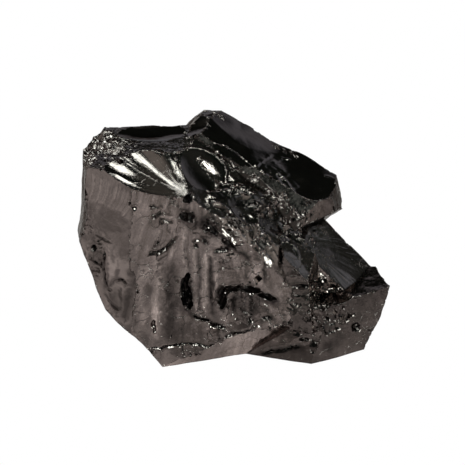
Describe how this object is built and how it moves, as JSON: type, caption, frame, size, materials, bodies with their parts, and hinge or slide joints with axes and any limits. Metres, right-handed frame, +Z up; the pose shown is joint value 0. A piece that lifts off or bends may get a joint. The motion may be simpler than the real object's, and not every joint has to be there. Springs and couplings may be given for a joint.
{
  "type": "elite shungite lump",
  "caption": "Hand-sized broken lump of glossy black shungite with shell-shaped fractures, an overhanging slab and a stepped ledge, resting on a flat base.",
  "frame": {"origin": "centre of the bounding box, on the plane that the stone rests on", "axes": "+Z up from the resting face, +X along the long side towards the low foot, -Y out of the tall front face"},
  "size_m": [0.0624, 0.0368, 0.0416],
  "materials": {
    "shungite": "black with a semi-metallic glassy lustre on fresh conchoidal fractures, duller where it is crumbled"
  },
  "bodies": {
    "root": {"shungite_lump": "shungite"}
  },
  "joints": []
}
